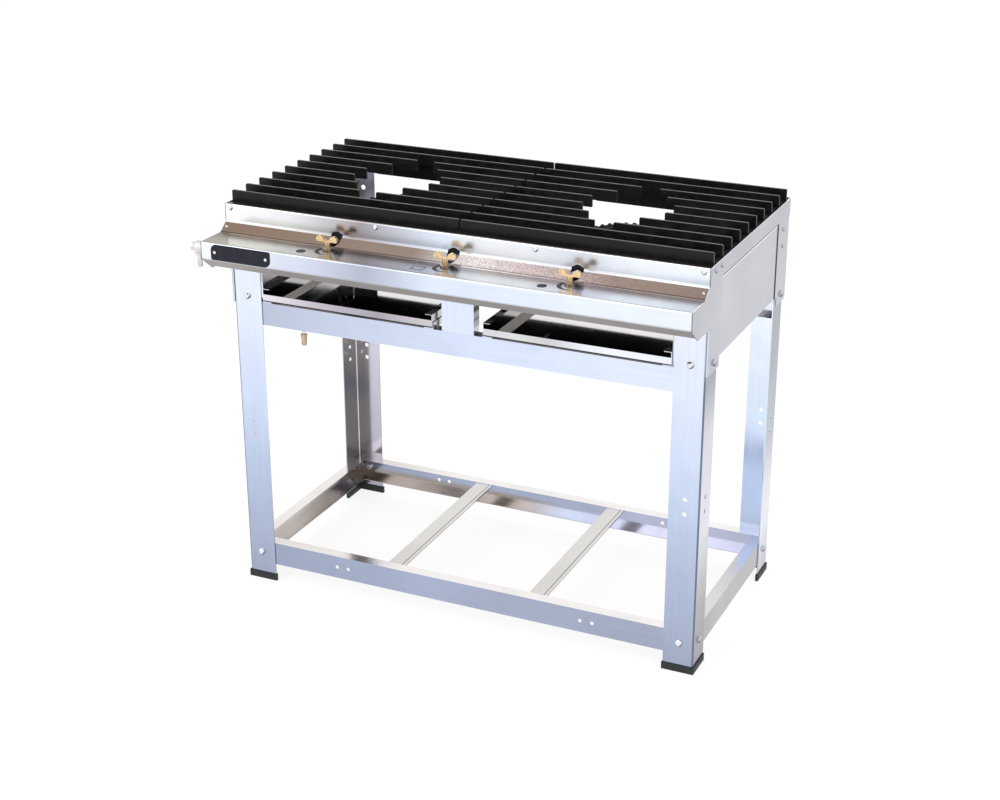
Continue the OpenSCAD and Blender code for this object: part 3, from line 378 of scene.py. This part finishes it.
def distance(m, x, y):
    """How far the surface lies from the upright line at x and y."""
    across, along = m.calc("SUBTRACT", m.x, x), m.calc("SUBTRACT", m.y, y)
    square = m.calc("ADD", m.product(across, across), m.product(along, along))
    return m.calc("SQRT", square)


def dial_arcs(m):
    """1 on the dark arc printed on the shelf in front of each key, thickest at its left."""
    (outer_x, outer_y, outer_r), (inner_x, inner_y, inner_r) = ARC_OUTER, ARC_INNER
    total = None
    for key_x in KEY_XS:
        within = m.spread(distance(m, key_x + outer_x, outer_y), outer_r, outer_r - ARC_SOFT)
        beyond = m.spread(distance(m, key_x + inner_x, inner_y), inner_r - ARC_SOFT, inner_r)
        share = m.product(within, beyond)
        total = share if total is None else m.calc("MAXIMUM", total, share)
    return total


def lip_share(m):
    """1 on the front panel's lip, which turns back under the apron."""
    return m.product(m.spread(m.face_z, -0.15, -0.4), m.spread(m.face_y, -0.2, -0.5))


def slope_tones(m):
    """The slope under the band, with a painted warm reflection, a coarse grain on its right half
    and painted shade on its fold.
    """
    color = m.ramp(m.x, (-0.50, 142, 119, 105), (-0.08, 154, 138, 127), (0.05, 238, 229, 227),
                   (0.15, 218, 201, 200), (0.32, 166, 146, 137), (0.50, 149, 130, 120))
    speck = m.spread(m.noise(420.0, 4.0, 0.7, SLOPE_SPECK_GRAIN), 0.36, 0.64, 0.74, 1.24)
    speck = m.add("CombineXYZ", {0: speck, 1: speck, 2: speck}).outputs[0]
    grainy = m.product(m.spread(m.x, -0.02, 0.04), m.spread(m.x, 0.50, 0.24, 0.25, 1.0))
    color = m.tinted(color, m.blend(grainy, WHITE, speck))
    # Painted shade along the fold at the foot of the slope
    return m.blend(m.near(m.face_z, SLOPE_FOLD_FACING, 0.05, 0.03), color,
                   m.scaled(color, SLOPE_FOLD_SHADE))


def panel_paint(m):
    """The folded front in painted light, shade and reflection: pale band, warm speckled slope,
    shaded shelf, bright apron, dull lip.
    """
    # Painted reflections along the band and the apron
    band = m.ramp(m.x, (-0.50, 249, 252, 254), (-0.38, 243, 245, 250), (-0.20, 168, 162, 170),
                  (-0.03, 227, 236, 251), (0.08, 250, 252, 255), (0.26, 222, 226, 237),
                  (0.36, 242, 247, 253))
    apron = m.ramp(m.x, (-0.50, 245, 248, 254), (-0.30, 220, 226, 244), (-0.14, 183, 188, 206),
                   (0.0, 224, 235, 252), (0.50, 240, 246, 254))
    shelf = m.ramp(m.x, (-0.50, 162, 156, 144), (-0.40, 171, 172, 160), (-0.18, 151, 147, 145),
                   (-0.02, 150, 149, 154), (0.09, 190, 189, 190), (0.50, 184, 188, 197))
    # Painted shade on the shelf near the slope
    shelf = m.blend(m.spread(m.y, *SHELF_SHADE_Y), shelf, m.tinted(shelf, SHELF_SHADE))
    shelf = m.blend(dial_arcs(m), shelf, tone(46, 44, 44))
    front = m.blend(m.spread(m.z, *APRON_TO_BAND_Z), apron, band)
    color = faces(m, front, top=shelf, under=tone(190, 184, 178))
    # Painted shade on the lip
    color = m.blend(lip_share(m), color, tone(170, 163, 159))
    on_slope = m.product(m.spread(m.face_z, 0.60, 0.74), m.spread(m.face_z, 0.998, 0.985),
                         m.spread(m.y, *SLOPE_FOOT_Y))
    return m.blend(on_slope, color, slope_tones(m))


def panel_blur(m):
    """The lip is rougher than the rest of the panel."""
    return m.product(lip_share(m), LIP_BLUR)


def bolt_paint(m):
    """Domed heads with painted shade towards their lower right, and dull grey on the sides of the
    range, with a painted highlight above and painted shade below.
    """
    # Painted shade and highlight on the heads, by the way they face
    toward_shade = m.add("VectorMath", {0: m.facing, 1: BOLT_SHADE_FACING},
                operation="DOT_PRODUCT").outputs["Value"]
    front = m.blend(m.spread(toward_shade, 0.15, 0.55), tone(232, 234, 240), tone(116, 120, 132))
    side = m.blend(m.spread(toward_shade, 0.30, 0.62), tone(206, 208, 214), tone(122, 124, 130))
    side = m.blend(m.spread(toward_shade, 0.70, 0.90), side, tone(70, 72, 78))
    return m.blend(m.spread(m.calc("ABSOLUTE", m.x), *SIDE_FACE_X), front, side)


def steel(name, grain, paint, rough=0.16, streaks=0.03, bump=0.06, blur=None):
    """Sheet steel with a fine brushing along its grain and faint smudges over the tones of its
    paint, which carry painted light, shade and reflection.
    """
    m = Material(name)
    fine = m.noise(900.0, 2.0, 0.6, GRAIN[grain])
    wide = m.noise(150.0, 3.0, 0.6, GRAIN[grain])
    smudge = m.noise(8.0, 4.0, 0.55)
    color = m.scaled(paint(m), m.spread(wide, 0.25, 0.75, 1.0 - streaks, 1.0 + 0.6 * streaks))
    color = m.scaled(color, m.spread(smudge, 0.35, 0.7, 1.0 + 0.4 * SMUDGES, 1.0 - SMUDGES))
    roughness = m.calc("ADD", m.spread(smudge, 0.3, 0.75, rough * 0.8, rough * 1.35),
                       m.spread(wide, 0.2, 0.8, -0.15 * rough, 0.15 * rough))
    if blur is not None:
        roughness = m.calc("ADD", roughness, blur(m))
    return m.finish({"Base Color": color, "Metallic": 1.0, "Roughness": roughness,
                     "Normal": m.bumps(fine, bump, 0.0003)})


# Other materials
SMALL_FRAME_X, SMALL_FRAME_HALF = -0.043, 0.013
RIVET_Y = (-0.3470, -0.3473)
RUST = (0.045, 0.026, 0.018, 1.0)


def black_paint(name, base, rough, gloss, worn=None):
    """Black paint with a fine orange peel, dust and, where worn is given, bare top edges."""
    m = Material(name)
    peel = m.noise(520.0)
    dust = m.noise(45.0, 5.0, 0.65)
    color = m.blend(m.spread(dust, 0.45, 0.75), base, lighter(base, 1.9, 0.003))
    if worn is not None:
        patch = m.noise(60.0, 3.0, 0.6)
        bare = m.product(m.spread(m.face_z, 0.5, 0.95), m.spread(patch, 0.28, 0.5, 0.55, 1.0))
        color = m.blend(bare, color, worn)
    return m.finish({"Base Color": color, "Specular IOR Level": gloss,
                     "Roughness": m.spread(dust, 0.3, 0.75, rough - 0.06, rough + 0.12),
                     "Normal": m.bumps(peel, 0.25, 0.0003)})


def plate_paint(name):
    """Navy black enamel on the bare plate, with bright rivets where it stands proud."""
    m = Material(name)
    peel = m.noise(600.0)
    dust = m.noise(60.0, 5.0, 0.65)
    rivet = m.spread(m.y, *RIVET_Y)
    color = m.blend(m.spread(dust, 0.45, 0.8), tone(26, 27, 42), tone(44, 45, 60))
    color = m.blend(rivet, color, tone(240, 242, 246))
    return m.finish({"Base Color": color, "Metallic": rivet, "Specular IOR Level": 0.3,
                     "Roughness": m.spread(dust, 0.3, 0.75, 0.24, 0.36),
                     "Normal": m.bumps(peel, 0.12, 0.0002)})


def mark_paint(name):
    """Printed marks: near black round the keys, and a thinner grey on the small frame."""
    m = Material(name)
    print_grain = m.noise(260.0, 3.0, 0.6)
    in_frame = m.near(m.x, SMALL_FRAME_X, SMALL_FRAME_HALF, 0.001)
    color = m.blend(in_frame, tone(40, 41, 44), tone(128, 124, 122))
    return m.finish({"Base Color": m.scaled(color, m.spread(print_grain, 0.3, 0.7, 0.8, 1.25)),
                     "Roughness": m.spread(print_grain, 0.3, 0.7, 0.45, 0.6),
                     "Specular IOR Level": 0.3})


def cast(name, base):
    """Cast iron with a sandy skin and rusty hollows."""
    m = Material(name)
    sand = m.noise(420.0, 4.0, 0.7)
    stain = m.noise(38.0, 4.0, 0.6)
    color = m.blend(m.spread(stain, 0.5, 0.72), base, RUST)
    color = m.blend(m.spread(sand, 0.55, 0.75), color, lighter(base, 1.9))
    return m.finish({"Base Color": color, "Metallic": 0.35,
                     "Roughness": m.spread(stain, 0.3, 0.7, 0.54, 0.74),
                     "Normal": m.bumps(sand, 0.5, 0.0006)})


def soft_metal(name, base, shade, rough):
    """Turned or plated metal with faint tool lines and tarnish in patches."""
    m = Material(name)
    lines = m.noise(300.0, 2.0, 0.5, GRAIN["z"])
    tarnish = m.noise(90.0, 4.0, 0.6)
    return m.finish({"Base Color": m.blend(m.spread(tarnish, 0.42, 0.75), base, shade),
                     "Metallic": 1.0,
                     "Roughness": m.spread(tarnish, 0.3, 0.7, rough - 0.05, rough + 0.1),
                     "Normal": m.bumps(lines, 0.2, 0.0002)})


def rubber(name, base):
    """Moulded black cap with a fine grain and scuffs."""
    m = Material(name)
    grain = m.noise(800.0, 2.0, 0.6)
    scuff = m.noise(55.0, 5.0, 0.7)
    color = m.blend(m.spread(scuff, 0.5, 0.8), base, lighter(base, 2.5, 0.01))
    return m.finish({"Base Color": color,
                     "Roughness": m.spread(scuff, 0.3, 0.75, 0.52, 0.75),
                     "Normal": m.bumps(grain, 0.3, 0.0003)})


# Stage
FLOOR_HALF, FLOOR_DROP = 30.0, 0.0005
FLOOR_GREYS = (0.80, 0.83)
FLOOR_SHOWN_GREY, FLOOR_GLOW = 0.24, 0.85
WORLD_LEVEL = 0.72
LAMP_TARGET = Vector((0.0, 0.0, 0.5))


def make_floor():
    """A pale floor that keeps the shadow, and shows near white where it is seen or mirrored."""
    data = bpy.data.meshes.new("floor")
    half = FLOOR_HALF
    data.from_pydata([(-half, -half, 0), (half, -half, 0), (half, half, 0), (-half, half, 0)], [],
                     [(0, 1, 2, 3)])
    floor = bpy.data.objects.new("floor", data)
    floor.location.z = -FLOOR_DROP
    bpy.context.scene.collection.objects.link(floor)
    m = Material("floor_pale")
    dark, pale = [(grey, grey, grey, 1.0) for grey in FLOOR_GREYS]
    matt = m.add("BsdfDiffuse", {"Color": m.blend(m.noise(3.0, 3.0), dark, pale)})
    dim = m.add("BsdfDiffuse", {"Color": (FLOOR_SHOWN_GREY,) * 3 + (1.0,)})
    glow = m.add("Emission", {"Color": WHITE, "Strength": FLOOR_GLOW})
    seen = m.add("AddShader", {0: dim.outputs[0], 1: glow.outputs[0]})
    both = m.add("MixShader", {0: m.shown_ray(), 1: matt.outputs[0], 2: seen.outputs[0]})
    m.add("OutputMaterial", {0: both.outputs[0]})
    data.materials.append(m.made)


def make_world():
    """White where it is seen or mirrored, and a plain level of light elsewhere."""
    world = bpy.data.worlds.new("studio")
    world.use_nodes = True
    n = Nodes(world.node_tree)
    strength = n.add("MapRange", {0: n.shown_ray(), 3: WORLD_LEVEL, 4: 1.0}).outputs[0]
    back = n.add("Background", {"Color": WHITE, "Strength": strength})
    n.add("OutputWorld", {0: back.outputs[0]})
    bpy.context.scene.world = world


def make_lamp(name, place, size, power):
    """A square lamp of so many metres and watts, aimed at the middle of the range."""
    data = bpy.data.lights.new(name, "AREA")
    data.shape = "SQUARE"
    data.size = size
    data.energy = power
    lamp = bpy.data.objects.new(name, data)
    lamp.location = place
    aim = LAMP_TARGET - Vector(place)
    lamp.rotation_euler = aim.to_track_quat("-Z", "Y").to_euler()
    bpy.context.scene.collection.objects.link(lamp)


bpy.context.scene.view_settings.view_transform = "Standard"
make_camera()
make_world()
make_floor()
make_lamp("key", (-2.2, -3.2, 3.6), size=4.0, power=46.0)
make_lamp("fill", (3.4, -1.2, 2.4), size=3.4, power=18.0)


# What each node wears
def dress(made, *names):
    """Puts one material on every node named."""
    for name in names:
        slots = nodes[name].data.materials
        slots.clear()
        slots.append(made)


# The steel paints carry painted light, shade and reflection; the materials after them hold the
# parts' own colours
dress(steel("steel_leg", "z", leg_paint), "leg_front_left", "leg_front_right")
dress(steel("steel_back_leg", "z", back_leg_paint), "leg_back_left", "leg_back_right")
dress(steel("steel_post", "z", plain(tone(222, 232, 253))), "centre_post")
dress(steel("steel_rail", "x", rail_paint), "shelf_rail_front", "shelf_rail_back")
dress(steel("steel_upper_rail", "x", upper_rail_paint), "upper_rail_front", "upper_rail_back",
      "rim_back")
dress(steel("steel_deep", "y", plain(RAIL_END, tone(200, 199, 200), tone(222, 220, 219))),
      "side_rail_left", "side_rail_right", "runners_left", "runners_right")
dress(steel("steel_left_rail", "y", left_rail_paint), "shelf_rail_left")
dress(steel("steel_right_rail", "y", right_rail_paint), "shelf_rail_right")
dress(steel("steel_bar", "y", bar_paint), "shelf_bar_left", "shelf_bar_right")
dress(steel("steel_cheek", "y", cheek_paint), "cheek_left", "cheek_right")
dress(steel("steel_side", "y", side_paint), "side_panel_left", "side_panel_right")
dress(steel("steel_panel", "x", panel_paint, rough=0.2, blur=panel_blur), "front_panel",
      "panel_folds")
dress(steel("steel_tray", "x", tray_paint, rough=0.036, streaks=0.02, bump=0.01), "tray_left",
      "tray_right")
dress(steel("bolt_steel", "z", bolt_paint, rough=0.14, streaks=0.01), "leg_bolts", "panel_bolts")
dress(black_paint("black_frame", tone(22, 22, 24), 0.45, gloss=0.3),
      "ledge_front", "ledge_back", "ledge_left", "ledge_right", "ledge_centre", "burner_straps",
      "gas_pipe", "grate_flats_left", "grate_flats_right")
dress(black_paint("black_grate", tone(11, 11, 12), 0.42, gloss=0.32, worn=tone(98, 98, 100)),
      "grate_left", "grate_right")
dress(cast("cast_burner", (0.03, 0.029, 0.028, 1.0)), "burner_left", "burner_right",
      "crown_left", "crown_right")
dress(soft_metal("shutter_steel", tone(170, 170, 172), tone(135, 133, 133), 0.35),
      "shutter_left", "shutter_right")
dress(soft_metal("key_brass", tone(240, 211, 166), tone(212, 178, 128), 0.18),
      "key_left", "key_middle", "key_right")
dress(soft_metal("valve_brass", tone(176, 160, 140), tone(120, 98, 76), 0.26),
      "valve_left", "valve_middle", "valve_right")
dress(soft_metal("tail_copper", tone(206, 184, 158), tone(150, 124, 98), 0.24), "feed_tail")
dress(soft_metal("inlet_metal", tone(232, 230, 227), tone(205, 201, 196), 0.38), "gas_inlet")
dress(soft_metal("tube_metal", tone(220, 220, 221), tone(190, 190, 192), 0.3), "feed_tube")
dress(rubber("foot_black", tone(34, 36, 38)), "foot_front_left", "foot_front_right",
      "foot_back_left", "foot_back_right")
dress(plate_paint("plate_black"), "bare_plate")
dress(mark_paint("mark_black"), "shelf_marks")
